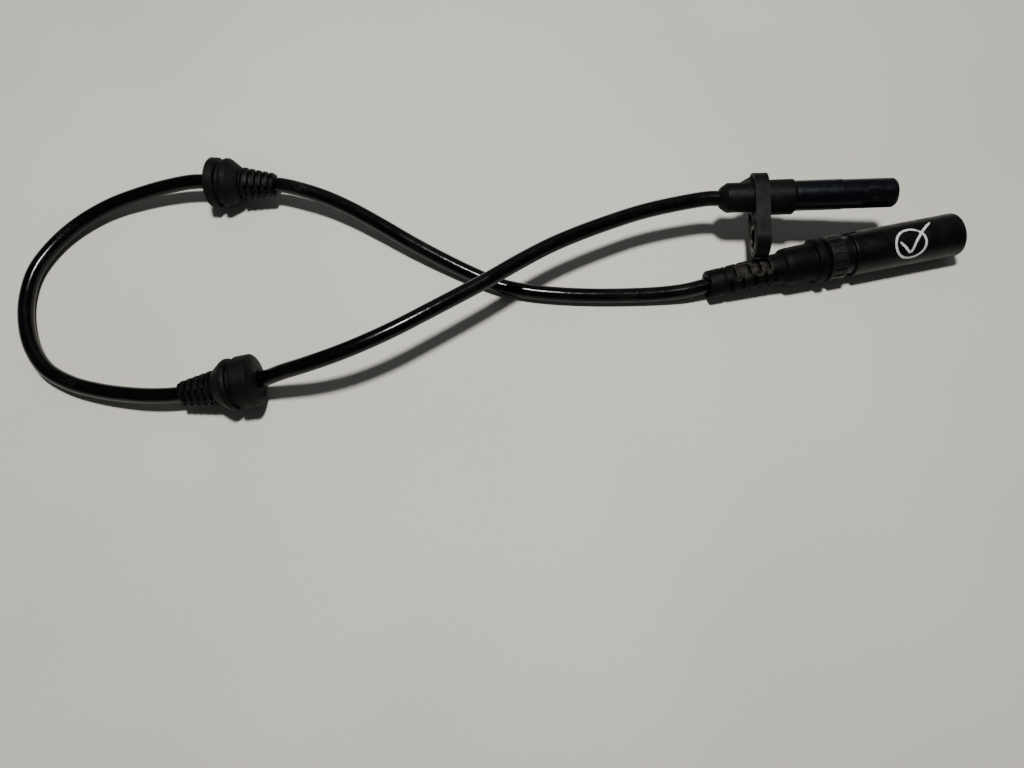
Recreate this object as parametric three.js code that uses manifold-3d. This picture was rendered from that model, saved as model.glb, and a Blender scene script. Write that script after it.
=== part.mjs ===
import * as THREE from 'three';
import { mergeVertices } from 'three/addons/utils/BufferGeometryUtils.js';
import Module from 'manifold-3d';

const wasm = await Module();
wasm.setup();
const { PI } = Math;
const rad = (deg) => deg * PI / 180;

// Sizes in mm. +X is the way the sensing nose points, seen from above. Seats and the route are measured
// from a point on the table, and the whole part is then moved so that its frame starts at HEAD_MIDDLE.
const HEAD_MIDDLE = [-0.57, -1.63, 18.1];

// Fits
const GAP = 0.3;
const CABLE_D = 5.2;
const CABLE_BORE_R = CABLE_D / 2 + GAP;

// Sensor head: s is the distance along its axis from the cable end
const HEAD = { at: [-29.51, 4.85, 17.6], yaw: rad(-1.0), pitch: rad(5) };
const REAR_R = 5.0;
const REAR_CHAMFER = 2.4;
const PLATE_START = 10.8;
const PLATE_T = 4.7;
const PLATE_R = 8.1;
const PLATE_HALF_W = 6.5;
const LUG_REACH = 14.6;
const LUG_ANGLE = rad(13.5);
const LUG_END_R = 6.35;
const COLLAR_END = 25.2;
const COLLAR_R = 5.9;
const COLLAR_SHIFT = 0.3;
const NOSE_R = 5.05;
const NOSE_END = 58.1;
const NOSE_RING = 40.2;
const NOSE_STEP = 46.3;
const NOSE_FLAT = 4.4;
const POCKET_R = 3.7;
const NOSE_TIP_T = 2.7;
const POCKET_START = 12.6;
const POCKET_END = NOSE_END - NOSE_TIP_T;

// Steel bush in the lug
const BUSH_OD = 9.1;
const BUSH_WALL = 1.1;
const BUSH_ID = BUSH_OD - 2 * BUSH_WALL;
const BUSH_PROUD = 0.25;

// Parts sealed inside the head
const CORE_R = 0.8;
const CORE_SPREAD = 1.25;
const CORE_BEND_START = 55.0;
const CORE_BEND_END = 58.6;
const HEAD_CABLE_END = 8.2;
const CRIMP_START = 16.4;
const CRIMP_L = 5.2;
const CRIMP_R = 1.15;
const CARRIER_START = 23.4;
const CARRIER_END_GAP = 0.4;
const CARRIER_END = POCKET_END - CARRIER_END_GAP;
const CARRIER_FLOOR = 1.1;
const CHIP_TO_END = 7.6;
const CHIP_START = CARRIER_END - CHIP_TO_END;
const CHIP_L = 5.0;
const CHIP_W = 4.2;
const CHIP_T = 1.6;

// Panel grommets: same rubber part, but the soft outer flange of the wheel side one is pushed out
const FLANGE_R = 8.7;
const GROMMET_L = 24.9;
const BODY_FLANGE_START = 0.5;
const WHEEL_FLANGE_START = -1.5;
const FLANGE_END = 5.3;
const GROOVE_R = 7.2;
const RIB_PITCH = 2.35;
const RIB_CREST = 5.6;
const RIB_FALL = 0.36;
const RIB_FIRST = 14.4;
const RIB_COUNT = 5;
const WHEEL_GROMMET = { at: [-183.72, -58.58, 9.65], yaw: rad(188.4), pitch: rad(-7.6) };
const BODY_GROMMET = { at: [-210.07, 17.58, 8.7], yaw: rad(-2.8), pitch: 0 };

// Connector: s is the distance along its axis from the cable end of the boot
const PLUG = { at: [-33.17, -21.95, 7.7], yaw: rad(12), pitch: 0 };
const BOOT_DROP = 2.8;
const BOOT_BEND_END = 35.0;
const BOOT_END = 41.0;
const DISC_R = 7.7;
const SHELL_R = 7.5;
const SHELL_START = 41.3;
const BAND_END = 47.0;
const SHELL_BODY = 50.2;
const SHELL_END = 89.6;
const SOCKET_R = 6.0;
const SOCKET_FLOOR = 57.6;
const WIRE_BORE_R = 3.6;
const PLUG_CABLE_END = 45.0;
const INSERT_R = SOCKET_R - GAP;
const INSERT_END = 71.5;
const PIN_R = 0.8;
const PIN_SPREAD = 2.2;
const PIN_END = 82.0;

// Solid geometry helpers
function toSolid(geometry) {
  const bare = new THREE.BufferGeometry();
  bare.setAttribute('position', geometry.getAttribute('position').clone());
  if (geometry.index) bare.setIndex(geometry.index.clone());
  const merged = mergeVertices(bare, 1e-4);
  const at = merged.getAttribute('position');
  const tris = [];
  const index = merged.index.array;
  for (let i = 0; i < index.length; i += 3) {
    const [a, b, c] = [index[i], index[i + 1], index[i + 2]];
    if (a !== b && b !== c && c !== a) tris.push(a, b, c);
  }
  const pa = new THREE.Vector3();
  const pb = new THREE.Vector3();
  const pc = new THREE.Vector3();
  let volume = 0;
  for (let i = 0; i < tris.length; i += 3) {
    pa.fromBufferAttribute(at, tris[i]);
    pb.fromBufferAttribute(at, tris[i + 1]);
    pc.fromBufferAttribute(at, tris[i + 2]);
    volume += pa.dot(pb.cross(pc));
  }
  if (volume < 0) tris.reverse();
  return new wasm.Manifold(new wasm.Mesh({
    numProp: 3,
    vertProperties: new Float32Array(at.array),
    triVerts: new Uint32Array(tris),
  }));
}

function toGeometry(solid) {
  const mesh = solid.getMesh();
  const geometry = new THREE.BufferGeometry();
  geometry.setAttribute('position', new THREE.BufferAttribute(new Float32Array(mesh.vertProperties), 3));
  geometry.setIndex(new THREE.BufferAttribute(new Uint32Array(mesh.triVerts), 1));
  geometry.computeVertexNormals();
  return geometry;
}

// A profile of [s, radius] pairs turned about +X; a ring profile has no point on the axis
function turned(profile, sides = 40) {
  const points = profile.map(([s, r]) => new THREE.Vector2(r, s));
  if (profile.every(([, r]) => r > 0)) points.push(points[0].clone());
  const geometry = new THREE.LatheGeometry(points, sides);
  geometry.rotateZ(-PI / 2);
  return toSolid(geometry);
}

function rod(s0, s1, r, sides = 20, y = 0, z = 0) {
  const solid = turned([[s0, 0], [s0, r], [s1, r], [s1, 0]], sides);
  return solid.translate([0, y, z]);
}

function box(x0, x1, y0, y1, z0, z1) {
  const geometry = new THREE.BoxGeometry(x1 - x0, y1 - y0, z1 - z0);
  geometry.translate((x0 + x1) / 2, (y0 + y1) / 2, (z0 + z1) / 2);
  return toSolid(geometry);
}

// A flat outline in the plane across +X, as thick as s0 to s1
function slab(shape, s0, s1, curveSegments = 20) {
  const geometry = new THREE.ExtrudeGeometry(shape, { depth: s1 - s0, bevelEnabled: false, curveSegments });
  geometry.rotateX(PI / 2);
  geometry.rotateZ(PI / 2);
  geometry.translate(s0, 0, 0);
  return toSolid(geometry);
}

// A seat is an axis in space: its start point, its turn about Z and its rise
function place(geometry, seat) {
  geometry.rotateY(-seat.pitch);
  geometry.rotateZ(seat.yaw);
  geometry.translate(...seat.at);
  return geometry;
}

function along(seat, s) {
  const flat = s * Math.cos(seat.pitch);
  return [
    seat.at[0] + flat * Math.cos(seat.yaw),
    seat.at[1] + flat * Math.sin(seat.yaw),
    seat.at[2] + s * Math.sin(seat.pitch),
  ];
}

const group = new THREE.Group();
group.name = 'abs_wheel_speed_sensor';
group.position.set(...HEAD_MIDDLE.map((v) => -v));

function addMesh(name, geometry, colour, roughness, metalness = 0) {
  const material = new THREE.MeshStandardMaterial({ color: colour, roughness, metalness });
  const mesh = new THREE.Mesh(geometry, material);
  mesh.name = name;
  group.add(mesh);
}

function addHead(name, solid, colour, roughness, metalness) {
  const geometry = place(toGeometry(solid), HEAD);
  addMesh(name, geometry, colour, roughness, metalness);
}

// Sensor housing with flange plate, lug, collar and sensing nose
const lugY = -LUG_REACH * Math.cos(LUG_ANGLE);
const lugZ = -LUG_REACH * Math.sin(LUG_ANGLE);

// Two round ends joined by their common tangents: the far end of the plate and the lug end
function plateOutline(inset) {
  const far = PLATE_HALF_W - inset;
  const end = LUG_END_R - inset;
  const back = PLATE_R - PLATE_HALF_W;
  const lean = Math.asin((far - end) / (LUG_REACH + back));
  const along = Math.atan2(lugZ, lugY);
  const from = along + PI / 2 - lean;
  const to = along - PI / 2 + lean;
  const shape = new THREE.Shape();
  shape.absarc(-back * Math.cos(along), -back * Math.sin(along), far, from, to + 2 * PI, false);
  shape.absarc(lugY, lugZ, end, to, from, false);
  return shape;
}

const lugCentre = (solid) => solid.translate([0, lugY, lugZ]);

let housing = turned([
  [0, 0], [0, REAR_R - 1.7], [0.5, REAR_R - 1.2], [REAR_CHAMFER, REAR_R], [PLATE_START + 1, REAR_R],
  [PLATE_START + 1, 0],
]);
const neck = turned([
  [PLATE_START + 1, 0], [PLATE_START + 1, COLLAR_R], [COLLAR_END - 1.1, COLLAR_R],
  [COLLAR_END, COLLAR_R - 1.1], [COLLAR_END, 0],
]);
const nose = turned([
  [COLLAR_END - 1, 0], [COLLAR_END - 1, NOSE_R], [NOSE_RING, NOSE_R], [NOSE_RING + 0.3, NOSE_R - 0.15],
  [NOSE_END - 1.3, NOSE_R - 0.2], [NOSE_END - 0.3, NOSE_R - 0.9], [NOSE_END, NOSE_R - 1.6], [NOSE_END, 0],
], 48);
const plate = slab(plateOutline(0), PLATE_START, PLATE_START + PLATE_T);
const plateRelief = slab(plateOutline(1.3), PLATE_START - 1, PLATE_START + 0.5)
  .subtract(lugCentre(rod(PLATE_START - 2, PLATE_START + 2, BUSH_OD / 2 + 1.3, 36)))
  .subtract(rod(PLATE_START - 2, PLATE_START + 2, REAR_R + 0.9, 36));
housing = housing
  .add(plate)
  .subtract(plateRelief)
  .add(neck.translate([0, COLLAR_SHIFT * Math.cos(LUG_ANGLE) * -1, COLLAR_SHIFT * Math.sin(LUG_ANGLE) * -1]))
  .add(nose);

// Gusset between plate and rear body, on the side away from the lug
const gusset = new THREE.Shape();
gusset.moveTo(PLATE_START - 4.5, 0);
gusset.lineTo(PLATE_START - 4.5, REAR_R - 0.2);
gusset.lineTo(PLATE_START + 0.6, PLATE_R - 0.5);
gusset.lineTo(PLATE_START + 0.6, 0);
gusset.closePath();
const gussetBody = new THREE.ExtrudeGeometry(gusset, { depth: 1.6, bevelEnabled: false });
gussetBody.translate(0, 0, -0.8);
housing = housing.add(toSolid(gussetBody).rotate([LUG_ANGLE * 180 / PI, 0, 0]));

// Flats and shallow pockets of the sensing end
housing = housing
  .subtract(box(NOSE_STEP, NOSE_END + 1, -NOSE_R - 1, -NOSE_FLAT, -NOSE_R, NOSE_R))
  .subtract(box(NOSE_STEP + 1.4, NOSE_STEP + 5.0, -1.5, 1.5, NOSE_R - 0.6, NOSE_R + 1).rotate([21, 0, 0]))
  .subtract(box(NOSE_END - 6.2, NOSE_END - 1.9, -1.3, 1.3, NOSE_R - 0.6, NOSE_R + 1).rotate([41, 0, 0]));

// Cable bore, the pocket for the electronics and the hole for the bush
housing = housing
  .subtract(rod(-1, POCKET_START + 1, CABLE_BORE_R, 24))
  .subtract(rod(POCKET_START, POCKET_END, POCKET_R, 24))
  .subtract(lugCentre(rod(PLATE_START - 1, PLATE_START + PLATE_T + 1, BUSH_OD / 2 + GAP, 36)));
addHead('sensor_housing', housing, 0x2a2c30, 0.62);

const bush = turned([
  [PLATE_START - BUSH_PROUD, BUSH_ID / 2 + 0.35], [PLATE_START - BUSH_PROUD, BUSH_OD / 2 - 0.3],
  [PLATE_START - BUSH_PROUD + 0.3, BUSH_OD / 2], [PLATE_START + PLATE_T + BUSH_PROUD - 0.3, BUSH_OD / 2],
  [PLATE_START + PLATE_T + BUSH_PROUD, BUSH_OD / 2 - 0.3],
  [PLATE_START + PLATE_T + BUSH_PROUD, BUSH_ID / 2 + 0.35],
  [PLATE_START + PLATE_T + BUSH_PROUD - 0.35, BUSH_ID / 2],
  [PLATE_START - BUSH_PROUD + 0.35, BUSH_ID / 2],
], 36);
addHead('lug_bush', lugCentre(bush), 0xa9a9a4, 0.38, 0.9);

// Element carrier: a tray with side walls, an end stop and a seat for the chip
const carrierR = POCKET_R - GAP;
const carrier = rod(CARRIER_START, CARRIER_END, carrierR, 24)
  .subtract(box(CARRIER_START + 1.2, CARRIER_END - 1.2, -2.7, 2.7, -CARRIER_FLOOR, carrierR + 1))
  .subtract(box(CARRIER_START - 1, CARRIER_START + 2, -2.2, 2.2, -0.9, 1.7))
  .subtract(box(CHIP_START - 0.6, CARRIER_END - 2.2, -2.7, 2.7, -CARRIER_FLOOR - 0.5, 0));
addHead('element_carrier', carrier, 0x1c3a5c, 0.7);
const chipFloor = -CARRIER_FLOOR - 0.5 + GAP;
addHead('sensor_chip', box(CHIP_START, CHIP_START + CHIP_L, -CHIP_W / 2, CHIP_W / 2, chipFloor,
  chipFloor + CHIP_T), 0x17181a, 0.5);
addHead('filter_capacitor', box(CHIP_START - 12, CHIP_START - 8.2, -2.1, 2.1, 0.55, 2.1), 0x6b4a2a, 0.55);

for (const [tag, side] of [['a', 1], ['b', -1]]) {
  const y = side * CORE_SPREAD;
  const lead = box(CRIMP_START + CRIMP_L + GAP, CHIP_START - GAP, y - 0.3, y + 0.3, -0.2, 0.25);
  addHead(`chip_lead_${tag}`, lead, 0xb8b4a8, 0.35, 0.85);
  const crimp = rod(CRIMP_START, CRIMP_START + CRIMP_L, CRIMP_R - 0.05, 12, y)
    .subtract(rod(CRIMP_START - 1, CRIMP_START + 1.6, CORE_R + 0.05, 12, y));
  addHead(`head_crimp_${tag}`, crimp, 0xb99a52, 0.4, 0.85);
  addHead(`head_core_${tag}`, rod(HEAD_CABLE_END + GAP, CRIMP_START - GAP, CORE_R, 12, y), side > 0
    ? 0x7a3b22 : 0x20222a, 0.55);
}

// Panel grommets: outer flange, panel groove, inner flange, cone and ribbed sleeve
function grommetSolid(flangeStart) {
  const profile = [
    [flangeStart, CABLE_BORE_R], [flangeStart, 4.0], [flangeStart + 0.4, 6.4], [flangeStart + 1.2, 8.2],
    [flangeStart + 1.8, FLANGE_R], [FLANGE_END - 0.5, FLANGE_R], [FLANGE_END, FLANGE_R - 0.6],
    [FLANGE_END + 0.2, GROOVE_R], [FLANGE_END + 1.4, GROOVE_R], [FLANGE_END + 1.6, FLANGE_R - 0.4],
    [FLANGE_END + 2.3, FLANGE_R - 0.1], [FLANGE_END + 3.2, FLANGE_R - 0.1],
    [FLANGE_END + 4.0, FLANGE_R - 0.5], [FLANGE_END + 5.8, 6.9], [FLANGE_END + 7.4, 5.7],
    [RIB_FIRST - 1.2, 5.0],
  ];
  for (let i = 0; i < RIB_COUNT; i += 1) {
    const s = RIB_FIRST + i * RIB_PITCH;
    const crest = RIB_CREST - i * RIB_FALL;
    profile.push([s - 0.75, crest - 1.0], [s - 0.4, crest], [s + 0.4, crest], [s + 0.75, crest - 1.1]);
  }
  profile.push([GROMMET_L, 3.6], [GROMMET_L, CABLE_BORE_R]);
  return turned(profile, 32);
}

const wheelGrommet = grommetSolid(WHEEL_FLANGE_START);
const bodyGrommet = grommetSolid(BODY_FLANGE_START);
addMesh('grommet_wheel_side', place(toGeometry(wheelGrommet), WHEEL_GROMMET), 0x3a3a35, 0.85);
addMesh('grommet_body_side', place(toGeometry(bodyGrommet), BODY_GROMMET), 0x3a3a35, 0.85);

// Cable, from the sensor head round the loop to the connector
const bootDrop = (s) => (s < BOOT_BEND_END ? BOOT_DROP * ((BOOT_BEND_END - s) / BOOT_BEND_END) ** 2 : 0);
function inPlug(s) {
  const [x, y, z] = along(PLUG, s);
  return [x, y, z - bootDrop(s)];
}
const ROUTE = [
  ...[HEAD_CABLE_END, 4, 0, -4].map((s) => along(HEAD, s)),
  [-46.3, 2.7, 16.7], [-56.8, -0.1, 16.6], [-67.2, -4.0, 16.8], [-77.6, -8.5, 17.2],
  [-87.8, -13.6, 17.6], [-97.9, -19.8, 18.1], [-109.3, -27.5, 18.7], [-118.9, -33.5, 19.2],
  [-128.4, -39.3, 19.6], [-137.7, -44.8, 19.8], [-146.9, -49.4, 19.5], [-156.3, -53.1, 18.4],
  [-166.3, -55.7, 15.9], [-174.2, -57.0, 13.0],
  ...[-3, 4, 11, 18, 26].map((s) => along(WHEEL_GROMMET, s)),
  [-218.4, -62.7, 5.9], [-229.2, -61.7, 5.1], [-238.0, -60.1, 4.4],
  [-247.1, -57.4, 3.7], [-256.3, -52.3, 3.1], [-263.1, -44.2, 2.8], [-267.1, -34.8, 2.7],
  [-268.8, -25.3, 2.7], [-267.7, -15.0, 3.2], [-262.4, -4.4, 3.4], [-255.3, 3.3, 4.0],
  [-245.4, 10.0, 4.9], [-234.7, 14.0, 6.2], [-223.6, 16.7, 7.6],
  ...[-4, 5, 13, 21, 27].map((s) => along(BODY_GROMMET, s)),
  [-176.3, 14.5, 8.8], [-167.2, 11.5, 8.3], [-158.2, 7.4, 7.6], [-147.3, 1.3, 6.6],
  [-136.5, -5.2, 5.6], [-125.8, -11.1, 4.6], [-115.2, -16.4, 3.6], [-104.7, -20.9, 2.9],
  [-94.2, -23.2, 2.7], [-83.8, -24.3, 2.7], [-71.6, -24.8, 2.7], [-59.4, -24.7, 2.8],
  [-49.0, -24.3, 3.2], [-40.5, -23.5, 4.0],
  ...[0, 6, 12, 20, 28, 36, PLUG_CABLE_END].map(inPlug),
];
const route = new THREE.CatmullRomCurve3(ROUTE.map((p) => new THREE.Vector3(...p)), false, 'centripetal');
const cableSection = new THREE.Shape();
cableSection.absarc(0, 0, CABLE_D / 2, 0, 2 * PI, false);
const cable = new THREE.ExtrudeGeometry(cableSection, {
  steps: 80, bevelEnabled: false, extrudePath: route, curveSegments: 6,
});
addMesh('cable', toGeometry(toSolid(cable)), 0x0c0c0e, 0.25);

// Connector parts are drawn straight; the boot's cable end then sags to the cable
function addPlug(name, solid, colour, roughness, metalness) {
  const geometry = toGeometry(solid);
  const at = geometry.getAttribute('position');
  for (let i = 0; i < at.count; i += 1) at.setZ(i, at.getZ(i) - bootDrop(at.getX(i)));
  geometry.computeVertexNormals();
  place(geometry, PLUG);
  addMesh(name, geometry, colour, roughness, metalness);
}

let boot = turned([
  [0, CABLE_BORE_R], [0, 4.5], [0.4, 4.9], [4.9, 4.9], [5.3, 4.5], [6.0, 4.9], [13.0, 5.0], [20.7, 5.1],
  [24.4, 5.3], [25.4, 5.3], [26.4, 6.3], [28.0, 6.5], [35.4, 6.6], [36.4, 6.5], [37.0, DISC_R - 0.3],
  [37.4, DISC_R], [39.4, DISC_R], [39.8, DISC_R - 0.4], [40.0, 6.5], [BOOT_END, 6.5],
  ...[BOOT_END, 35, 30, 25, 20, 15, 10, 5].map((s) => [s, CABLE_BORE_R]),
], 36);
const bootWindows = [[6.6, 10.2, 3.7], [11.0, 15.9, 3.8], [16.9, 20.2, 3.9], [21.2, 24.0, 4.0]];
bootWindows.forEach(([s0, s1, floor], i) => {
  for (let side = 0; side < 4; side += 1) {
    const turn = side * 90 + (i % 2) * 45;
    boot = boot.subtract(box(s0, s1, -1.7, 1.7, floor, 9).rotate([turn, 0, 0]));
  }
});
addPlug('connector_boot', boot, 0x33322e, 0.8);

let shell = turned([
  [SHELL_START, WIRE_BORE_R], [SHELL_START, DISC_R - 0.5], [SHELL_START + 0.4, DISC_R],
  [BAND_END - 0.4, DISC_R], [BAND_END, DISC_R - 0.5], [BAND_END + 0.2, 6.5], [SHELL_BODY - 0.6, 6.5],
  [SHELL_BODY, SHELL_R - 0.3], [SHELL_BODY + 0.6, SHELL_R],
  [SHELL_END - 0.8, SHELL_R], [SHELL_END - 0.2, SHELL_R - 0.25], [SHELL_END, SHELL_R - 0.6],
  [SHELL_END, SOCKET_R + 0.3], [SHELL_END - 0.5, SOCKET_R], [SOCKET_FLOOR, SOCKET_R],
  [SOCKET_FLOOR, WIRE_BORE_R],
], 44);
// Grip notches round the rear band, the latch notch and the two coding grooves in the socket
for (let i = 0; i < 18; i += 1) {
  const notch = box(SHELL_START + 1.0, BAND_END - 1.0, -0.45, 0.45, DISC_R - 0.4, DISC_R + 1);
  shell = shell.subtract(notch.rotate([i * 20, 0, 0]));
}
shell = shell
  .subtract(box(SHELL_BODY - 0.2, SHELL_BODY + 3.4, -2.2, 2.2, SHELL_R - 1.0, SHELL_R + 1).rotate([-60, 0, 0]))
  .subtract(box(SHELL_END - 16, SHELL_END + 1, -1.1, 1.1, SOCKET_R - 1, SOCKET_R + 0.6).rotate([20, 0, 0]))
  .subtract(box(SHELL_END - 16, SHELL_END + 1, -0.7, 0.7, SOCKET_R - 1, SOCKET_R + 0.6).rotate([140, 0, 0]));
addPlug('connector_housing', shell, 0x1d1e21, 0.45);

addPlug('wire_seal', turned([
  [50.4, 2.3], [50.4, 3.0], [50.9, WIRE_BORE_R - GAP], [51.5, 3.0], [52.2, WIRE_BORE_R - GAP], [52.8, 3.0],
  [53.5, WIRE_BORE_R - GAP], [54.0, 3.0], [54.0, 2.3],
], 28), 0x8a4a35, 0.75);

let insert = rod(SOCKET_FLOOR + GAP, INSERT_END, INSERT_R, 36);
let lock = rod(INSERT_END + GAP, INSERT_END + 2.6, INSERT_R, 36);
for (const side of [1, -1]) {
  const y = side * PIN_SPREAD;
  insert = insert
    .subtract(rod(SOCKET_FLOOR - 1, SOCKET_FLOOR + 7.3, 1.55, 16, y))
    .subtract(rod(SOCKET_FLOOR, INSERT_END + 1, PIN_R + GAP, 16, y));
  lock = lock.subtract(rod(INSERT_END - 1, INSERT_END + 4, PIN_R + GAP, 16, y));
}
insert = insert.subtract(box(SOCKET_FLOOR + 9, INSERT_END - 2.4, -3.4, 3.4, 2.6, 7));
lock = lock.subtract(box(INSERT_END, INSERT_END + 3, -1.2, 1.2, 4.2, 7));
addPlug('terminal_carrier', insert, 0x6d6f72, 0.6);
addPlug('secondary_lock', lock, 0x8e2f24, 0.55);

for (const [tag, side] of [['a', 1], ['b', -1]]) {
  const y = side * PIN_SPREAD;
  const pin = turned([
    [SOCKET_FLOOR + 5.3, 0], [SOCKET_FLOOR + 5.3, 1.2], [SOCKET_FLOOR + 7.0, 1.2],
    [SOCKET_FLOOR + 7.0, PIN_R], [PIN_END - 0.9, PIN_R], [PIN_END, 0.35], [PIN_END, 0],
  ], 16).translate([0, y, 0]);
  addPlug(`contact_pin_${tag}`, pin, 0xc2b280, 0.3, 0.9);
  const barrel = rod(SOCKET_FLOOR + 0.6, SOCKET_FLOOR + 5.0, 1.2, 14, y)
    .subtract(rod(SOCKET_FLOOR, SOCKET_FLOOR + 2.2, CORE_R + GAP, 14, y));
  addPlug(`plug_crimp_${tag}`, barrel, 0xb99a52, 0.4, 0.85);
  const core = new THREE.CatmullRomCurve3([
    new THREE.Vector3(PLUG_CABLE_END + GAP, side * CORE_SPREAD, 0),
    new THREE.Vector3(50, side * CORE_SPREAD, 0),
    new THREE.Vector3(CORE_BEND_START, side * CORE_SPREAD, 0),
    new THREE.Vector3(CORE_BEND_END, y, 0), new THREE.Vector3(SOCKET_FLOOR + 1.9, y, 0),
  ]);
  const coreSection = new THREE.Shape();
  coreSection.absarc(0, 0, CORE_R - 0.02, 0, 2 * PI, false);
  const coreBody = new THREE.ExtrudeGeometry(coreSection, {
    steps: 16, bevelEnabled: false, extrudePath: core, curveSegments: 5,
  });
  addPlug(`plug_core_${tag}`, toSolid(coreBody), side > 0 ? 0x7a3b22 : 0x20222a, 0.55);
}

export default group;
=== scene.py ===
import math
import random

import bmesh
import bpy
from mathutils import Matrix, Vector


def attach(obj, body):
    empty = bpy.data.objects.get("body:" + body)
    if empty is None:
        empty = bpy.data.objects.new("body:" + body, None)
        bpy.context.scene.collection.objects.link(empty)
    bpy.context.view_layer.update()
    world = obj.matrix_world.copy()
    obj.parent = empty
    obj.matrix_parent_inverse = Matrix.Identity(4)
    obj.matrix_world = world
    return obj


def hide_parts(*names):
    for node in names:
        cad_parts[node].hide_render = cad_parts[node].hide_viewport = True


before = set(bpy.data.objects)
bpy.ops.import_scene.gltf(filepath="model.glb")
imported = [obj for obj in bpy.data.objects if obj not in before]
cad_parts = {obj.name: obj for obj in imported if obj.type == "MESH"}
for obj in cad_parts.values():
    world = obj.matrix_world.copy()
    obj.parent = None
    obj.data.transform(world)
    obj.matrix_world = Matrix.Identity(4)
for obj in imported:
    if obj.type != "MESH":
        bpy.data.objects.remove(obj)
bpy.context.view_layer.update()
MM = 0.001

# Sizes in mm, the same as in part.mjs. Seats, the route, the light and the camera are measured from a
# point on the table, which is at HEAD_MIDDLE below the start of the frame.
HEAD_MIDDLE = Vector((-0.57, -1.63, 18.1))
CABLE_D = 5.2
BORE_R = CABLE_D / 2 + 0.3
HEAD = ((-29.51, 4.85, 17.6), -1.0, 5.0)
PLATE_START = 10.8
PLATE_T = 4.7
LUG_REACH = 14.6
LUG_ANGLE = math.radians(13.5)
LUG_END_R = 6.35
PLATE_R = 8.1
PLATE_HALF_W = 6.5
REAR_R = 5.0
GUSSET_L = 4.5
GUSSET_HALF_T = 0.8
COLLAR_END = 25.2
COLLAR_R = 5.9
COLLAR_SHIFT = 0.3
NOSE_R = 5.05
NOSE_RING = 40.2
NOSE_STEP = 46.3
NOSE_END = 58.1
NOSE_FLAT = 4.4
MARK_POCKETS = ((NOSE_STEP + 1.4, NOSE_STEP + 5.0, 1.6, 35), (NOSE_END - 6.2, NOSE_END - 1.9, 1.35, 41))
MARK_POCKET_DEPTH = 0.65
POCKET_R = 3.7
POCKET_START = 12.6
POCKET_END = 55.4
BUSH_OD = 9.1
BUSH_ID = 6.9
BUSH_PROUD = 0.25
BUSH_FIT = 0.12
WHEEL_GROMMET = ((-183.72, -58.58, 9.65), 188.4, -7.6)
BODY_GROMMET = ((-210.07, 17.58, 8.7), -2.8, 0.0)
FLANGE_R = 8.7
BODY_FLANGE_START = 0.5
WHEEL_FLANGE_START = -1.5
FLANGE_END = 5.3
GROOVE_R = 7.2
GROMMET_L = 24.9
RIB_FIRST = 14.4
RIB_PITCH = 2.35
RIB_CREST = 5.6
RIB_FALL = 0.36
SECTOR_TURN = 1.8
PLUG = ((-33.17, -21.95, 7.7), 12.0, 0.0)
BOOT_DROP = 2.8
BOOT_BEND_END = 35.0
BOOT_END = 41.0
SLOTS_TOP = (8.4, 13.4, 17.0, 20.3)
SLOTS_BESIDE = (6.9, 10.9, 15.2, 18.7, 22.0)
SLOT_HALF_W = 0.6
SLOT_HALF_L = 2.0
SLOT_FLOOR = 3.8
SLOT_TURN = -5
# Where the boot's raised top carries lighter patches, which are partly dust and partly a painted highlight
TOP_PATCH_START = 8.5
TOP_PATCH_END = 21.5
NECK_R = 6.5
DISC_R = 7.7
SHELL_R = 7.5
SHELL_START = 41.3
BAND_END = 47.0
SHELL_BODY = 50.2
SHELL_END = 89.6
SOCKET_R = 6.0
SOCKET_FLOOR = 57.6
WIRE_BORE_R = 3.6
GRIP_GROOVES = 18
MARK_MIDDLE = (69.2, 27.0)

# The photo's camera, which looks down on the table
CAMERA_AT = (-100.47, -145.03, 243.38)
CAMERA_TILT = math.radians(20)
FOCAL_PIXELS = 769
PICTURE_PIXELS = 1024


# Seats and meshes
def in_frame(at):
    return (Vector(at) - HEAD_MIDDLE) * MM


def seat_matrix(seat):
    at, yaw, pitch = seat
    turn = Matrix.Rotation(math.radians(yaw), 4, "Z") @ Matrix.Rotation(-math.radians(pitch), 4, "Y")
    return Matrix.Translation(in_frame(at)) @ turn


def along(seat, s):
    return seat_matrix(seat) @ Vector((s * MM, 0, 0))


def new_object(name, mesh):
    obj = bpy.data.objects.new(name, mesh)
    bpy.context.scene.collection.objects.link(obj)
    return obj


def from_bmesh(name, bm):
    bmesh.ops.recalc_face_normals(bm, faces=bm.faces)
    mesh = bpy.data.meshes.new(name)
    bm.to_mesh(mesh)
    bm.free()
    return new_object(name, mesh)


def round_corners(points, closed, steps=5):
    """Points are (s, r) or (s, r, corner radius)."""
    out = []
    count = len(points)
    for i, point in enumerate(points):
        here = Vector(point[:2])
        radius = point[2] if len(point) > 2 else 0
        if not radius or (not closed and i in (0, count - 1)):
            out.append(here)
            continue
        back = Vector(points[i - 1][:2]) - here
        ahead = Vector(points[(i + 1) % count][:2]) - here
        half = back.angle(ahead) / 2
        cut = min(radius / math.tan(half), 0.48 * back.length, 0.48 * ahead.length)
        first = here + back.normalized() * cut
        last = here + ahead.normalized() * cut
        for k in range(steps + 1):
            t = k / steps
            out.append(first * (1 - t) ** 2 + here * 2 * t * (1 - t) + last * t ** 2)
    return out


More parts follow.
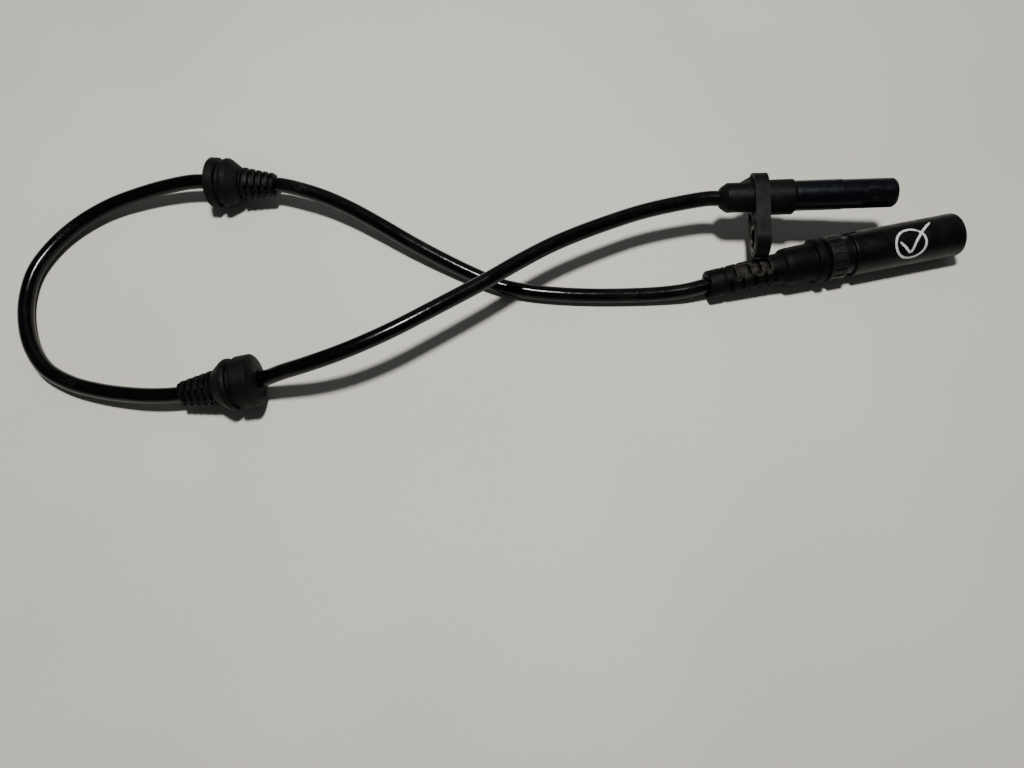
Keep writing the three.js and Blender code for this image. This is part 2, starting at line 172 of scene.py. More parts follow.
def lathe(name, profile, sides=96, closed=True):
    """Turns a profile of (s, r) in mm about +X. A closed profile is a ring."""
    points = round_corners(profile, closed)
    bm = bmesh.new()
    rings = []
    for s, r in points:
        if r < 1e-6:
            rings.append([bm.verts.new((s * MM, 0, 0))])
            continue
        ring = []
        for k in range(sides):
            a = 2 * math.pi * k / sides
            ring.append(bm.verts.new((s * MM, r * math.cos(a) * MM, r * math.sin(a) * MM)))
        rings.append(ring)
    pairs = list(zip(rings, rings[1:]))
    if closed:
        pairs.append((rings[-1], rings[0]))
    for a, b in pairs:
        for k in range(sides):
            n = (k + 1) % sides
            if len(a) == 1 and len(b) == 1:
                continue
            if len(a) == 1:
                bm.faces.new((a[0], b[n], b[k]))
            elif len(b) == 1:
                bm.faces.new((a[k], a[n], b[0]))
            else:
                bm.faces.new((a[k], a[n], b[n], b[k]))
    return from_bmesh(name, bm)


def cylinder(s0, s1, r, sides=64, y=0, z=0):
    obj = lathe("tool", [(s0, 0), (s0, r), (s1, r), (s1, 0)], sides, closed=False)
    obj.data.transform(Matrix.Translation((0, y * MM, z * MM)))
    return obj


def block(x0, x1, y0, y1, z0, z1, turn=0, edge=0.0):
    """A box, its edges along X, Y and Z rounded by edge, turned about +X by turn degrees."""
    bm = bmesh.new()
    bmesh.ops.create_cube(bm, size=1)
    size = Vector((x1 - x0, y1 - y0, z1 - z0)) * MM
    middle = Vector((x0 + x1, y0 + y1, z0 + z1)) * MM / 2
    bmesh.ops.transform(bm, matrix=Matrix.Translation(middle) @ Matrix.Diagonal((*size, 1)), verts=bm.verts)
    if edge:
        bmesh.ops.bevel(bm, geom=list(bm.edges), offset=edge * MM, segments=3, profile=0.5, affect="EDGES")
    bmesh.ops.transform(bm, matrix=Matrix.Rotation(math.radians(turn), 4, "X"), verts=bm.verts)
    return from_bmesh("tool", bm)


def slab(outline, s0, s1):
    """A flat outline of (y, z) points in mm, as thick as s0 to s1."""
    bm = bmesh.new()
    low = [bm.verts.new((s0 * MM, y * MM, z * MM)) for y, z in outline]
    high = [bm.verts.new((s1 * MM, y * MM, z * MM)) for y, z in outline]
    bm.faces.new(low)
    bm.faces.new(high[::-1])
    for i in range(len(outline)):
        j = (i + 1) % len(outline)
        bm.faces.new((low[i], high[i], high[j], low[j]))
    return from_bmesh("slab", bm)


def join(objs):
    bm = bmesh.new()
    for obj in objs:
        bm.from_mesh(obj.data)
    mesh = bpy.data.meshes.new(objs[0].name)
    bm.to_mesh(mesh)
    bm.free()
    objs[0].data = mesh
    for obj in objs[1:]:
        bpy.data.objects.remove(obj)
    return objs[0]


def bake(obj):
    """The mesh that the modifiers make takes the place of the object's own."""
    graph = bpy.context.evaluated_depsgraph_get()
    mesh = bpy.data.meshes.new_from_object(obj.evaluated_get(graph))
    obj.modifiers.clear()
    obj.data = mesh
    return obj


def smooth(obj, angle=32):
    """Smooth shading below the angle, with flat faces kept flat up to their rounded edges."""
    obj.data.shade_smooth()
    obj.data.set_sharp_from_angle(angle=math.radians(angle))
    change = obj.modifiers.new("flat_faces", "WEIGHTED_NORMAL")
    change.keep_sharp = True
    return bake(obj)


def cut(obj, tools, operation="DIFFERENCE"):
    tool = join(tools)
    change = obj.modifiers.new("cut", "BOOLEAN")
    change.operation = operation
    change.solver = "EXACT"
    change.object = tool
    bake(obj)
    bpy.data.objects.remove(tool)
    return obj


def soften(obj, width, angle=35, segments=2):
    change = obj.modifiers.new("soften", "BEVEL")
    change.width = width * MM
    change.segments = segments
    change.limit_method = "ANGLE"
    change.angle_limit = math.radians(angle)
    return bake(obj)


# Materials
def node(tree, kind, inputs=None, **settings):
    made = tree.nodes.new(kind)
    for key, value in settings.items():
        setattr(made, key, value)
    for key, value in (inputs or {}).items():
        if isinstance(value, bpy.types.NodeSocket):
            tree.links.new(value, made.inputs[key])
        else:
            made.inputs[key].default_value = value
    return made


def colour(r, g, b):
    """sRGB 0 to 255 as linear RGBA."""
    linear = [v / 255 / 12.92 if v / 255 < 0.04045 else ((v / 255 + 0.055) / 1.055) ** 2.4 for v in (r, g, b)]
    return (*linear, 1.0)


def start_material(name):
    material = bpy.data.materials.new(name)
    material.use_nodes = True
    tree = material.node_tree
    shader = tree.nodes["Principled BSDF"]
    place = node(tree, "ShaderNodeTexCoord").outputs["Object"]
    return material, tree, shader, place


def speckle(tree, place, size, detail=3.0, roughness=0.55):
    """Noise whose features are about size mm across, 0 to 1."""
    return node(tree, "ShaderNodeTexNoise", {
        "Vector": place, "Scale": 1 / (size * MM), "Detail": detail, "Roughness": roughness,
    }).outputs["Fac"]


def span(tree, value, low, high, to_low=0.0, to_high=1.0):
    return node(tree, "ShaderNodeMapRange", {
        "Value": value, "From Min": low, "From Max": high, "To Min": to_low, "To Max": to_high,
    }, interpolation_type="SMOOTHSTEP").outputs["Result"]


def times(tree, a, b, operation="MULTIPLY"):
    made = node(tree, "ShaderNodeMath", {0: a, 1: b}, operation=operation)
    return made.outputs[0]


def blend(tree, share, a, b):
    made = node(tree, "ShaderNodeMix", data_type="RGBA")
    for key, value in (("Factor", share), ("A", a), ("B", b)):
        socket = next(s for s in made.inputs if s.name == key and (s.type == "RGBA") == (key != "Factor"))
        if isinstance(value, bpy.types.NodeSocket):
            tree.links.new(value, socket)
        else:
            socket.default_value = value
    return next(s for s in made.outputs if s.type == "RGBA")


def bump(tree, shader, height, depth, strength=1.0, normal=None):
    inputs = {"Height": height, "Distance": depth * MM, "Strength": strength}
    if normal is not None:
        inputs["Normal"] = normal
    made = node(tree, "ShaderNodeBump", inputs)
    tree.links.new(made.outputs["Normal"], shader.inputs["Normal"])
    return made.outputs["Normal"]


def facing_up(tree):
    normal = node(tree, "ShaderNodeNewGeometry").outputs["Normal"]
    return node(tree, "ShaderNodeSeparateXYZ", {"Vector": normal}).outputs["Z"]


def surface(name, base, dust, dust_share, rough, grain, grain_depth, metallic=0.0, patch=6.0, where=None,
            gloss=0.5, waves=0.0):
    """A worn surface: base colour with dust in patches, fine grain, shallow waves and uneven roughness."""
    material, tree, shader, place = start_material(name)
    broad = speckle(tree, place, patch, 4.0)
    fine = speckle(tree, place, 0.35, 3.0, 0.65)
    mask = times(tree, span(tree, broad, 0.38, 0.66), span(tree, fine, 0.36, 0.62))
    mask = times(tree, mask, span(tree, facing_up(tree), -0.4, 0.7, 0.35, 1.0))
    mask = times(tree, mask, dust_share)
    if where is not None:
        mask = times(tree, mask, where(tree, place), "ADD")
        mask = node(tree, "ShaderNodeClamp", {"Value": mask}).outputs[0]
    tint = blend(tree, speckle(tree, place, patch * 0.6), base, tuple(c * 1.35 for c in base[:3]) + (1.0,))
    tree.links.new(blend(tree, mask, tint, dust), shader.inputs["Base Color"])
    uneven = span(tree, speckle(tree, place, patch * 0.5, 4.0), 0.3, 0.7, rough[0], rough[1])
    tree.links.new(times(tree, uneven, times(tree, mask, 0.35), "ADD"), shader.inputs["Roughness"])
    shader.inputs["Metallic"].default_value = metallic
    shader.inputs["Specular IOR Level"].default_value = gloss
    wavy = bump(tree, shader, speckle(tree, place, 1.6, 2.0), waves) if waves else None
    bump(tree, shader, speckle(tree, place, grain, 4.0, 0.6), grain_depth, normal=wavy)
    return material


def between(low, high, soft=0.4, level=1.0):
    """Dust only where the local x is between low and high, in mm."""
    def mask(tree, place):
        x = node(tree, "ShaderNodeSeparateXYZ", {"Vector": place}).outputs["X"]
        rise = span(tree, x, (low - soft) * MM, (low + soft) * MM)
        fall = span(tree, x, (high - soft) * MM, (high + soft) * MM, 1.0, 0.0)
        patchy = span(tree, speckle(tree, place, 1.1, 4.0, 0.7), 0.3, 0.7, 0.35, 1.0)
        return times(tree, times(tree, times(tree, rise, fall), patchy), level)
    return mask


def top_dust_and_highlight(level=1.0):
    """Dust and a painted highlight where the mesh's own dust attribute asks for it."""
    def mask(tree, place):
        asked = node(tree, "ShaderNodeAttribute", attribute_name="dust").outputs["Fac"]
        patchy = span(tree, speckle(tree, place, 1.3, 4.0, 0.75), 0.42, 0.58, 0.05, 1.0)
        return times(tree, times(tree, asked, patchy), level)
    return mask


nose_black = surface("nose_plastic", colour(3, 3, 5), colour(60, 58, 54), 0.03, (0.26, 0.36), 0.5, 0.012,
                     gloss=0.2)
nose_black.node_tree.nodes["Principled BSDF"].inputs["Specular Tint"].default_value = (0.78, 0.87, 1.0, 1.0)
plate_black = surface("flange_plastic", colour(4, 4, 4), colour(58, 56, 49), 0.1, (0.46, 0.62), 0.4, 0.02,
                      gloss=0.1)
rubber = surface("dusty_rubber", colour(4, 4, 4), colour(56, 54, 47), 0.11, (0.5, 0.7), 0.4, 0.03, gloss=0.14,
                 waves=0.1)
# The boot's lighter top patches are partly dust and partly a painted highlight
boot_rubber = surface("boot_rubber", colour(3, 3, 3), colour(84, 80, 71), 0.03, (0.46, 0.64), 0.4, 0.03,
                      where=top_dust_and_highlight(0.28), gloss=0.08, waves=0.08)
shell_black = surface("connector_plastic", colour(3, 3, 4), colour(54, 54, 51), 0.05, (0.32, 0.46), 0.3, 0.01,
                      patch=9.0, where=between(39.0, 47.1, level=0.16), gloss=0.2)
worn_steel = surface("worn_steel", colour(86, 84, 80), colour(50, 42, 35), 0.8, (0.32, 0.5), 0.25, 0.01,
                     metallic=1.0, patch=2.0)
tin = surface("tinned_contact", colour(170, 166, 156), colour(120, 112, 96), 0.3, (0.22, 0.4), 0.15, 0.004,
              metallic=1.0, patch=1.5)
brass = surface("brass_crimp", colour(176, 148, 84), colour(110, 92, 60), 0.3, (0.28, 0.45), 0.15, 0.004,
                metallic=1.0, patch=1.5)
carrier_blue = surface("carrier_plastic", colour(34, 58, 92), colour(80, 88, 96), 0.1, (0.45, 0.6), 0.3, 0.01)
chip_black = surface("chip_resin", colour(26, 26, 28), colour(70, 70, 70), 0.1, (0.4, 0.55), 0.2, 0.008)
capacitor_brown = surface("capacitor_resin", colour(112, 78, 48), colour(140, 112, 84), 0.2, (0.35, 0.5), 0.2,
                          0.008)
seal_rubber = surface("seal_rubber", colour(140, 78, 58), colour(160, 120, 100), 0.2, (0.5, 0.65), 0.3, 0.01)
insert_grey = surface("insert_plastic", colour(112, 114, 118), colour(140, 138, 130), 0.2, (0.45, 0.6), 0.3,
                      0.01)
lock_red = surface("lock_plastic", colour(146, 48, 36), colour(150, 90, 76), 0.15, (0.42, 0.58), 0.3, 0.01)
core_brown = surface("core_brown", colour(124, 62, 38), colour(140, 96, 72), 0.15, (0.4, 0.55), 0.3, 0.006)
core_black = surface("core_black", colour(34, 36, 42), colour(84, 84, 84), 0.15, (0.4, 0.55), 0.3, 0.006)


def jacket():
    """Glossy cable jacket with faint handling marks and a little dust."""
    material, tree, shader, place = start_material("cable_jacket")
    broad = speckle(tree, place, 14.0, 4.0)
    fine = speckle(tree, place, 0.5, 3.0, 0.7)
    mask = times(tree, span(tree, broad, 0.5, 0.72), span(tree, fine, 0.46, 0.64))
    mask = times(tree, mask, 0.12)
    tree.links.new(blend(tree, mask, colour(3, 3, 4), colour(96, 92, 84)), shader.inputs["Base Color"])
    uneven = span(tree, speckle(tree, place, 5.0, 5.0, 0.6), 0.3, 0.7, 0.11, 0.2)
    tree.links.new(times(tree, uneven, mask, "ADD"), shader.inputs["Roughness"])
    shader.inputs["Specular IOR Level"].default_value = 0.2
    soft = bump(tree, shader, speckle(tree, place, 4.0, 2.0), 0.05)
    bump(tree, shader, speckle(tree, place, 0.3, 2.0), 0.004, normal=soft)
    return material


def paint():
    """White paint pen, thin in places so that the plastic shows through."""
    material, tree, shader, place = start_material("paint_pen")
    dry = span(tree, speckle(tree, place, 0.45, 4.0, 0.7), 0.36, 0.56)
    tint = blend(tree, dry, colour(128, 129, 131), colour(212, 213, 214))
    tree.links.new(tint, shader.inputs["Base Color"])
    tree.links.new(span(tree, dry, 0.0, 1.0, 0.7, 0.5), shader.inputs["Roughness"])
    bump(tree, shader, speckle(tree, place, 0.25, 3.0), 0.01)
    return material


cable_black = jacket()
paint_white = paint()


def dress(obj, material):
    obj.data.materials.clear()
    obj.data.materials.append(material)


for name, material in {
    "element_carrier": carrier_blue, "sensor_chip": chip_black, "filter_capacitor": capacitor_brown,
    "chip_lead_a": tin, "chip_lead_b": tin, "head_crimp_a": brass, "head_crimp_b": brass,
    "head_core_a": core_brown, "head_core_b": core_black, "wire_seal": seal_rubber,
    "terminal_carrier": insert_grey, "secondary_lock": lock_red, "contact_pin_a": tin, "contact_pin_b": tin,
    "plug_crimp_a": brass, "plug_crimp_b": brass, "plug_core_a": core_brown, "plug_core_b": core_black,
}.items():
    dress(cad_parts[name], material)


# Sensor head
lug_y = -LUG_REACH * math.cos(LUG_ANGLE)
lug_z = -LUG_REACH * math.sin(LUG_ANGLE)


def plate_outline(inset, steps=40):
    far = PLATE_HALF_W - inset
    end = LUG_END_R - inset
    back = PLATE_R - PLATE_HALF_W
    lean = math.asin((far - end) / (LUG_REACH + back))
    way = math.atan2(lug_z, lug_y)
    first = way + math.pi / 2 - lean
    last = way - math.pi / 2 + lean
    points = []
    for k in range(steps + 1):
        a = first + (last + 2 * math.pi - first) * k / steps
        points.append((-back * math.cos(way) + far * math.cos(a), -back * math.sin(way) + far * math.sin(a)))
    for k in range(steps + 1):
        a = last + (first - last) * k / steps
        points.append((lug_y + end * math.cos(a), lug_z + end * math.sin(a)))
    return points


body = lathe("sensor_head", [
    (0, BORE_R), (0, REAR_R - 1.8, 0.15), (0.5, REAR_R - 1.3, 0.2), (2.4, REAR_R, 0.4),
    (PLATE_START + 2, REAR_R), (PLATE_START + 2.2, NOSE_R), (NOSE_RING, NOSE_R, 0.1),
    (NOSE_RING + 0.3, NOSE_R - 0.15, 0.1), (NOSE_END - 1.3, NOSE_R - 0.2, 0.6),
    (NOSE_END - 0.3, NOSE_R - 0.9, 0.4), (NOSE_END, NOSE_R - 1.6, 0.2), (NOSE_END, 0.5), (POCKET_END, 0.5),
    (POCKET_END, POCKET_R), (POCKET_START, POCKET_R), (POCKET_START, BORE_R),
], 128)
plug_end = lathe("tip", [
    (NOSE_END - 2.5, 0), (NOSE_END - 2.5, 0.7), (NOSE_END, 0.7), (NOSE_END, 0),
], 32, False)
cut(body, [block(NOSE_STEP, NOSE_END + 1, -NOSE_R - 1, -NOSE_FLAT, -NOSE_R, NOSE_R)])
cut(body, [block(s0, s1, -half, half, NOSE_R - MARK_POCKET_DEPTH, NOSE_R + 1, turn, 0.2)
           for s0, s1, half, turn in MARK_POCKETS])
collar = lathe("collar", [
    (PLATE_START + 1, 4.4), (PLATE_START + 1, COLLAR_R), (COLLAR_END - 1.1, COLLAR_R, 0.4),
    (COLLAR_END, COLLAR_R - 1.1, 0.3), (COLLAR_END, 4.4),
], 128)
shift = COLLAR_SHIFT * MM
collar.data.transform(Matrix.Translation((0, -shift * math.cos(LUG_ANGLE), -shift * math.sin(LUG_ANGLE))))
plate = slab(plate_outline(0), PLATE_START, PLATE_START + PLATE_T)
relief = slab(plate_outline(1.3), PLATE_START - 1, PLATE_START + 0.5)
cut(relief, [
    cylinder(PLATE_START - 2, PLATE_START + 2, BUSH_OD / 2 + 1.3, 96, lug_y, lug_z),
    cylinder(PLATE_START - 2, PLATE_START + 2, REAR_R + 0.9, 96),
])
cut(plate, [relief])
cut(plate, [
    cylinder(PLATE_START - 1, PLATE_START + PLATE_T + 1, BUSH_OD / 2 + BUSH_FIT, 96, lug_y, lug_z),
    cylinder(PLATE_START - 1, PLATE_START + PLATE_T + 1, 4.3, 96),
])
soften(plate, 0.28)
gusset = bmesh.new()
corners = [(PLATE_START - GUSSET_L, 4.4), (PLATE_START - GUSSET_L, REAR_R - 0.2),
           (PLATE_START + 0.6, PLATE_R - 0.5), (PLATE_START + 0.6, 4.4)]
near = [gusset.verts.new((s * MM, r * MM, -GUSSET_HALF_T * MM)) for s, r in corners]
away = [gusset.verts.new((s * MM, r * MM, GUSSET_HALF_T * MM)) for s, r in corners]
gusset.faces.new(near)
gusset.faces.new(away[::-1])
for i in range(4):
    gusset.faces.new((near[i], away[i], away[(i + 1) % 4], near[(i + 1) % 4]))
gusset = from_bmesh("gusset", gusset)
gusset.data.transform(Matrix.Rotation(LUG_ANGLE, 4, "X"))
soften(gusset, 0.2)
head = join([body, plug_end, collar, plate, gusset])
smooth(head)
dress(head, nose_black)
head.data.materials.append(plate_black)
for face in head.data.polygons:
    face.material_index = int(face.center.x < (COLLAR_END + 0.1) * MM)
head.matrix_world = seat_matrix(HEAD)
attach(head, "root")
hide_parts("sensor_housing")

bush_start = PLATE_START - BUSH_PROUD
bush_end = PLATE_START + PLATE_T + BUSH_PROUD
bush = lathe("lug_bush_steel", [
    (bush_start, BUSH_ID / 2 + 0.35, 0.1), (bush_start, BUSH_OD / 2 - 0.25, 0.1),
    (bush_start + 0.3, BUSH_OD / 2, 0.1), (bush_end - 0.3, BUSH_OD / 2, 0.1),
    (bush_end, BUSH_OD / 2 - 0.25, 0.1), (bush_end, BUSH_ID / 2 + 0.35, 0.1),
    (bush_end - 0.35, BUSH_ID / 2, 0.1), (bush_start + 0.35, BUSH_ID / 2, 0.1),
])
bush.data.transform(Matrix.Translation((0, lug_y * MM, lug_z * MM)))
smooth(bush)
dress(bush, worn_steel)
bush.matrix_world = seat_matrix(HEAD)
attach(bush, "root")
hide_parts("lug_bush")


# Panel grommets
def rib_height(s):
    """How far the ribbed sleeve stands out at s, from 0 in a groove to 1 on a crest."""
    off = abs((s - RIB_FIRST + RIB_PITCH / 2) % RIB_PITCH - RIB_PITCH / 2)
    return max(0.0, min(1.0, (0.78 - off) / 0.3))


def sleeve(sides=120, sectors=6):
    """The grommet's sleeve: rings of ribs cut into sectors, every second sector half a pitch further on."""
    start = RIB_FIRST - 1.3
    steps = 120
    bm = bmesh.new()

    def bore_ring(s):
        angles = [2 * math.pi * k / sides for k in range(sides)]
        return [bm.verts.new((s * MM, BORE_R * math.cos(a) * MM, BORE_R * math.sin(a) * MM)) for a in angles]

    rings = [bore_ring(start - 1)]
    for i in range(steps + 1):
        s = start + (GROMMET_L - start) * i / steps
        crest = RIB_CREST - RIB_FALL * (s - RIB_FIRST) / RIB_PITCH
        ring = []
        for k in range(sides):
            a = 2 * math.pi * (k + 0.5) / sides
            odd = int((a / (2 * math.pi) * sectors + SECTOR_TURN) % 2)
            stand = rib_height(s + odd * RIB_PITCH / 2) if start + 0.2 < s < GROMMET_L - 0.15 else 0.0
            r = crest - 1.1 * (1 - stand)
            ring.append(bm.verts.new((s * MM, r * math.cos(a) * MM, r * math.sin(a) * MM)))
        rings.append(ring)
    rings.append(bore_ring(GROMMET_L))
    for a, b in zip(rings, [*rings[1:], rings[0]]):
        for k in range(sides):
            n = (k + 1) % sides
            bm.faces.new((a[k], a[n], b[n], b[k]))
    return from_bmesh("sleeve", bm)


def grommet(name, seat, flange_start, replaced):
    rim = FLANGE_END
    obj = lathe(name, [
        (flange_start, BORE_R), (flange_start, 4.0, 0.3), (flange_start + 0.4, 6.4, 1.0),
        (flange_start + 1.2, 8.2, 0.7), (flange_start + 1.8, FLANGE_R, 0.4), (rim - 0.5, FLANGE_R, 0.3),
        (rim, FLANGE_R - 0.6, 0.2), (rim + 0.2, GROOVE_R, 0.3), (rim + 1.4, GROOVE_R, 0.3),
        (rim + 1.6, FLANGE_R - 0.4, 0.3), (rim + 2.3, FLANGE_R - 0.1, 0.4), (rim + 3.2, FLANGE_R - 0.1, 0.5),
        (rim + 4.0, FLANGE_R - 0.5, 0.8), (rim + 5.8, 6.9, 1.5), (rim + 7.4, 5.7, 1.0),
        (RIB_FIRST - 1.2, 4.6, 0.3), (RIB_FIRST - 0.9, BORE_R),
    ], 120)
    join([obj, sleeve()])
    smooth(obj, 50)
    dress(obj, rubber)
    obj.matrix_world = seat_matrix(seat)
    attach(obj, "root")
    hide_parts(replaced)
    return obj


wheel_grommet = grommet("rubber_grommet_wheel_side", WHEEL_GROMMET, WHEEL_FLANGE_START,
                        "grommet_wheel_side")
body_grommet = grommet("rubber_grommet_body_side", BODY_GROMMET, BODY_FLANGE_START,
                       "grommet_body_side")


# Connector
def boot_drop(s):
    return BOOT_DROP * ((BOOT_BEND_END - s) / BOOT_BEND_END) ** 2 if s < BOOT_BEND_END else 0.0


boot = lathe("rubber_boot", [
    (0, BORE_R), (0, 4.5, 0.2), (0.4, 4.9, 0.2), (4.9, 4.9, 0.2), (5.3, 4.5, 0.2), (6.0, 4.9, 0.3),
    (13.0, 5.0), (20.7, 5.1), (24.4, 5.3), (25.4, 5.3, 0.5), (26.4, 6.3, 0.6), (28.0, NECK_R, 0.8),
    (35.4, NECK_R + 0.1, 0.3), (36.4, NECK_R, 0.3), (37.0, DISC_R - 0.3, 0.3), (37.4, DISC_R, 0.2),
    (39.4, DISC_R, 0.3), (39.8, DISC_R - 0.4, 0.2), (40.0, NECK_R, 0.2), (BOOT_END, NECK_R),
    (BOOT_END, BORE_R),
], 128)
slots = []
for side in range(6):
    for s in SLOTS_BESIDE if side % 2 else SLOTS_TOP:
        slots.append(block(s - SLOT_HALF_W, s + SLOT_HALF_W, -SLOT_HALF_L, SLOT_HALF_L, SLOT_FLOOR, 9,
                           side * 60 + SLOT_TURN, 0.25))
cut(boot, slots)
remesh = boot.modifiers.new("remesh", "REMESH")
remesh.mode = "VOXEL"
remesh.voxel_size = 0.17 * MM
remesh.adaptivity = 0
relax = boot.modifiers.new("relax", "SMOOTH")
relax.factor = 0.5
relax.iterations = 4
bake(boot)
# The dust attribute marks the raised skin on the boot's top between the slots; the lighter colour it brings
# is partly dust and partly a painted highlight
top_patch = boot.data.attributes.new("dust", "FLOAT", "POINT")
for v in boot.data.vertices:
    s = v.co.x / MM
    r = math.hypot(v.co.y, v.co.z) / MM
    up = v.co.z / MM / r
    raised = max(0.0, min(1.0, (r - 4.7) / 0.15))
    top_patch.data[v.index].value = raised if up > 0.8 and TOP_PATCH_START < s < TOP_PATCH_END else 0.0
    v.co.z -= boot_drop(s) * MM
smooth(boot, 180)
dress(boot, boot_rubber)
boot.matrix_world = seat_matrix(PLUG)
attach(boot, "root")
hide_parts("connector_boot")

shell = lathe("connector_shell", [
    (SHELL_START, WIRE_BORE_R), (SHELL_START, DISC_R - 0.5, 0.2), (SHELL_START + 0.4, DISC_R, 0.2),
    (BAND_END - 0.4, DISC_R, 0.2), (BAND_END, DISC_R - 0.5, 0.2), (BAND_END + 0.2, NECK_R, 0.3),
    (SHELL_BODY - 0.2, NECK_R, 0.1), (SHELL_BODY, SHELL_R - 0.2, 0.1), (SHELL_BODY + 0.3, SHELL_R, 0.3),
    (SHELL_END - 0.8, SHELL_R, 0.4), (SHELL_END - 0.2, SHELL_R - 0.25, 0.2), (SHELL_END, SHELL_R - 0.6, 0.1),
    (SHELL_END, SOCKET_R + 0.3, 0.1), (SHELL_END - 0.5, SOCKET_R, 0.2), (SOCKET_FLOOR, SOCKET_R, 0.3),
    (SOCKET_FLOOR, WIRE_BORE_R, 0.2),
], 144)
tools = [block(SHELL_START + 1.0, BAND_END - 1.0, -0.45, 0.45, DISC_R - 0.4, DISC_R + 1,
               i * 360 / GRIP_GROOVES, 0.1) for i in range(GRIP_GROOVES)]
tools.append(block(SHELL_BODY - 0.2, SHELL_BODY + 3.4, -2.2, 2.2, SHELL_R - 1.0, SHELL_R + 1, -60, 0.2))
tools.append(block(SHELL_END - 16, SHELL_END + 1, -1.1, 1.1, SOCKET_R - 1, SOCKET_R + 0.6, 20, 0.1))
tools.append(block(SHELL_END - 16, SHELL_END + 1, -0.7, 0.7, SOCKET_R - 1, SOCKET_R + 0.6, 140, 0.1))
cut(shell, tools)
smooth(shell)
dress(shell, shell_black)
shell.matrix_world = seat_matrix(PLUG)
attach(shell, "root")
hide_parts("connector_housing")


# Cable
def catmull_rom(points, per_span):
    """Centripetal Catmull-Rom through the points, per_span short steps between each two."""
    points = [2 * points[0] - points[1], *points, 2 * points[-1] - points[-2]]
    out = []
    for i in range(1, len(points) - 2):
        p0, p1, p2, p3 = points[i - 1:i + 3]
        t1 = (p1 - p0).length ** 0.5
        t2 = t1 + (p2 - p1).length ** 0.5
        t3 = t2 + (p3 - p2).length ** 0.5
        for k in range(per_span):
            t = t1 + (t2 - t1) * k / per_span
            a1 = p0 * (t1 - t) / t1 + p1 * t / t1
            a2 = p1 * (t2 - t) / (t2 - t1) + p2 * (t - t1) / (t2 - t1)
            a3 = p2 * (t3 - t) / (t3 - t2) + p3 * (t - t2) / (t3 - t2)
            b1 = a1 * (t2 - t) / t2 + a2 * t / t2
            b2 = a2 * (t3 - t) / (t3 - t1) + a3 * (t - t1) / (t3 - t1)
            out.append(b1 * (t2 - t) / (t2 - t1) + b2 * (t - t1) / (t2 - t1))
    out.append(points[-2])
    return out


def in_plug(s):
    return along(PLUG, s) - Vector((0, 0, boot_drop(s) * MM))


def free(*points):
    return [in_frame(p) for p in points]


route = [along(HEAD, s) for s in (8.2, 4, 0, -4)]
route += free(
    (-46.3, 2.7, 16.7), (-56.8, -0.1, 16.6), (-67.2, -4.0, 16.8), (-77.6, -8.5, 17.2),
    (-87.8, -13.6, 17.6), (-97.9, -19.8, 18.1), (-109.3, -27.5, 18.7), (-118.9, -33.5, 19.2),
    (-128.4, -39.3, 19.6), (-137.7, -44.8, 19.8), (-146.9, -49.4, 19.5), (-156.3, -53.1, 18.4),
    (-166.3, -55.7, 15.9), (-174.2, -57.0, 13.0))
route += [along(WHEEL_GROMMET, s) for s in (-3, 4, 11, 18, 26)]
route += free(
    (-218.4, -62.7, 5.9), (-229.2, -61.7, 5.1), (-238.0, -60.1, 4.4),
    (-247.1, -57.4, 3.7), (-256.3, -52.3, 3.1), (-263.1, -44.2, 2.8), (-267.1, -34.8, 2.7),
    (-268.8, -25.3, 2.7), (-267.7, -15.0, 3.2), (-262.4, -4.4, 3.4), (-255.3, 3.3, 4.0),
    (-245.4, 10.0, 4.9), (-234.7, 14.0, 6.2), (-223.6, 16.7, 7.6))
route += [along(BODY_GROMMET, s) for s in (-4, 5, 13, 21, 27)]
route += free(
    (-176.3, 14.5, 8.8), (-167.2, 11.5, 8.3), (-158.2, 7.4, 7.6), (-147.3, 1.3, 6.6),
    (-136.5, -5.2, 5.6), (-125.8, -11.1, 4.6), (-115.2, -16.4, 3.6), (-104.7, -20.9, 2.9),
    (-94.2, -23.2, 2.7), (-83.8, -24.3, 2.7), (-71.6, -24.8, 2.7), (-59.4, -24.7, 2.8),
    (-49.0, -24.3, 3.2), (-40.5, -23.5, 4.0))
route += [in_plug(s) for s in (0, 6, 12, 20, 28, 36, 45)]
line = catmull_rom(route, 8)
curve = bpy.data.curves.new("sensor_cable", "CURVE")
curve.dimensions = "3D"
curve.bevel_depth = CABLE_D / 2 * MM
curve.bevel_resolution = 8
curve.use_fill_caps = True
spline = curve.splines.new("POLY")
spline.points.add(len(line) - 1)
for point, at in zip(spline.points, line):
    point.co = (*at, 1.0)
cable = new_object("sensor_cable", curve)
dress(cable, cable_black)
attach(cable, "root")
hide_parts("cable")


# Paint pen mark on the connector
def stroke(points, width):
    """A thin ribbon on the connector's skin through (s, degrees round from the top towards the viewer)."""
    path = catmull_rom([Vector((s, a * math.pi / 180 * SHELL_R, 0)) for s, a in points], 10)
    picked = random.Random(len(points))
    bm = bmesh.new()
    rows = []
    for i, here in enumerate(path):
        ahead = path[min(i + 1, len(path) - 1)] - path[max(i - 1, 0)]
        across = Vector((-ahead.y, ahead.x, 0)).normalized()
        end = min(i, len(path) - 1 - i, 4) / 4
        half = width / 2 * (0.55 + 0.45 * end) * (1 + picked.uniform(-0.07, 0.07))
        row = []
        for k in (-1.0, -0.8, 0.0, 0.8, 1.0):
            spot = here + across * half * k
            height = SHELL_R - 0.02 + 0.06 * (1 - abs(k)) ** 0.4
            a = spot.y / SHELL_R
            row.append(bm.verts.new((spot.x * MM, -height * math.sin(a) * MM, height * math.cos(a) * MM)))
        rows.append(row)
    for a, b in zip(rows, rows[1:]):
        for k in range(4):
            bm.faces.new((a[k], a[k + 1], b[k + 1], b[k]))
    return from_bmesh("stroke", bm)


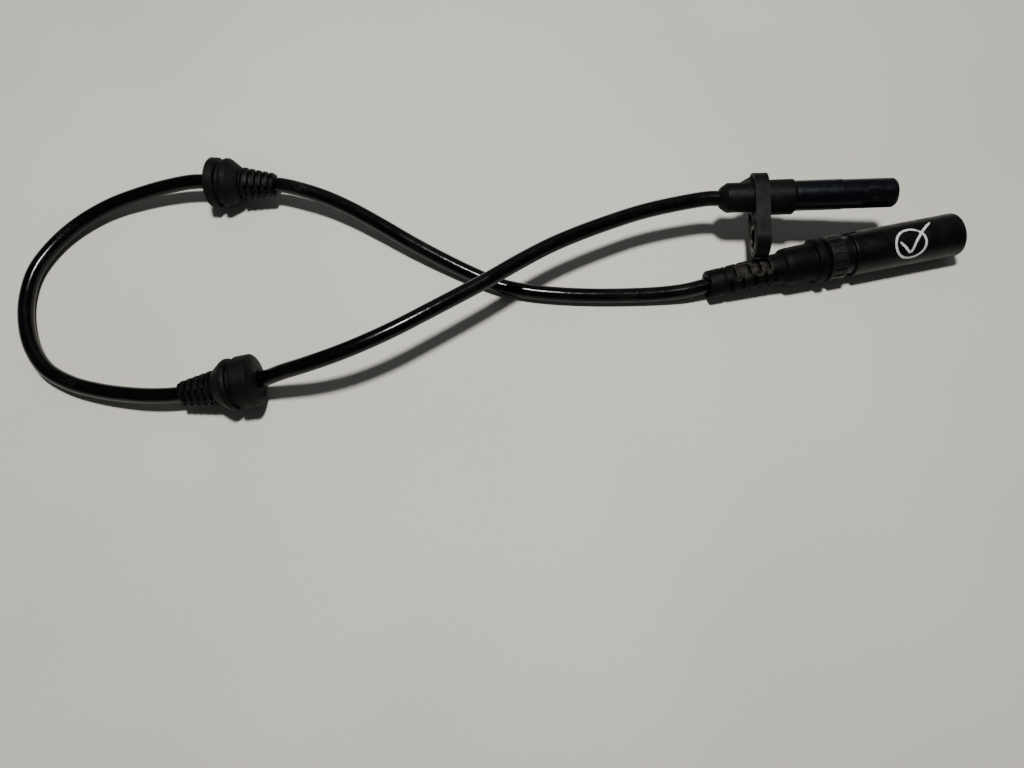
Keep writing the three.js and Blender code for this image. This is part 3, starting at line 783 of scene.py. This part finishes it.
mark_s, mark_a = MARK_MIDDLE
ring = stroke([(mark_s + 5.4 * math.cos(a), mark_a + 39.0 * math.sin(a)) for a in
               [-0.9 - 2 * math.pi * k / 14 for k in range(15)]], 0.9)
tick = stroke([(65.4, 18.0), (67.1, 34.0), (68.8, 49.0), (71.2, 23.0), (74.4, -2.0), (78.2, -23.0)], 0.95)
mark = join([tick, ring])
mark.name = "paint_mark"
smooth(mark, 60)
dress(mark, paint_white)
mark.matrix_world = seat_matrix(PLUG)
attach(mark, "root")


# Floor, light and camera
def table_top():
    material, tree, shader, place = start_material("pale_table")
    grain = speckle(tree, place, 3.0, 4.0, 0.6)
    broad = speckle(tree, place, 120.0, 2.0)
    tint = blend(tree, span(tree, broad, 0.3, 0.7), colour(196, 193, 185), colour(203, 200, 192))
    tint = blend(tree, times(tree, grain, 0.25), tint, colour(188, 185, 178))
    tree.links.new(tint, shader.inputs["Base Color"])
    tree.links.new(span(tree, grain, 0.3, 0.7, 0.5, 0.56), shader.inputs["Roughness"])
    shader.inputs["Specular IOR Level"].default_value = 0.15
    bump(tree, shader, speckle(tree, place, 0.6, 3.0), 0.01)
    return material


floor_bm = bmesh.new()
bmesh.ops.create_grid(floor_bm, x_segments=1, y_segments=1, size=3.0)
bmesh.ops.translate(floor_bm, vec=in_frame((0, 0, 0)), verts=floor_bm.verts)
floor = from_bmesh("floor", floor_bm)
dress(floor, table_top())


def area_light(name, at, aim, size, power, tint=(1.0, 1.0, 1.0), shape="DISK"):
    """The places and the size are in mm, the power in watts."""
    data = bpy.data.lights.new(name, "AREA")
    data.shape = shape
    data.size = size * MM
    data.energy = power
    data.color = tint
    obj = bpy.data.objects.new(name, data)
    bpy.context.scene.collection.objects.link(obj)
    obj.location = in_frame(at)
    obj.rotation_mode = "QUATERNION"
    obj.rotation_quaternion = (Vector(aim) - Vector(at)).to_track_quat("-Z", "Y")


area_light("overhead", (-120, 55, 700), (-110, -30, 0), 90, 6.9, (1.0, 0.985, 0.955))
area_light("ceiling", (-100, 1600, 1600), (-100, 0, 0), 1600, 2.2, (0.93, 0.96, 1.0), "SQUARE")
world = bpy.data.worlds.new("room")
world.use_nodes = True
world.node_tree.nodes["Background"].inputs["Color"].default_value = (0.9, 0.94, 1.0, 1.0)
world.node_tree.nodes["Background"].inputs["Strength"].default_value = 0.08
bpy.context.scene.world = world

camera_data = bpy.data.cameras.new("camera")
camera_data.sensor_width = 36
camera_data.lens = camera_data.sensor_width * FOCAL_PIXELS / PICTURE_PIXELS
camera_data.clip_start = 0.01
camera = bpy.data.objects.new("camera", camera_data)
bpy.context.scene.collection.objects.link(camera)
camera.location = in_frame(CAMERA_AT)
camera.rotation_euler = (CAMERA_TILT, 0, 0)
bpy.context.scene.camera = camera
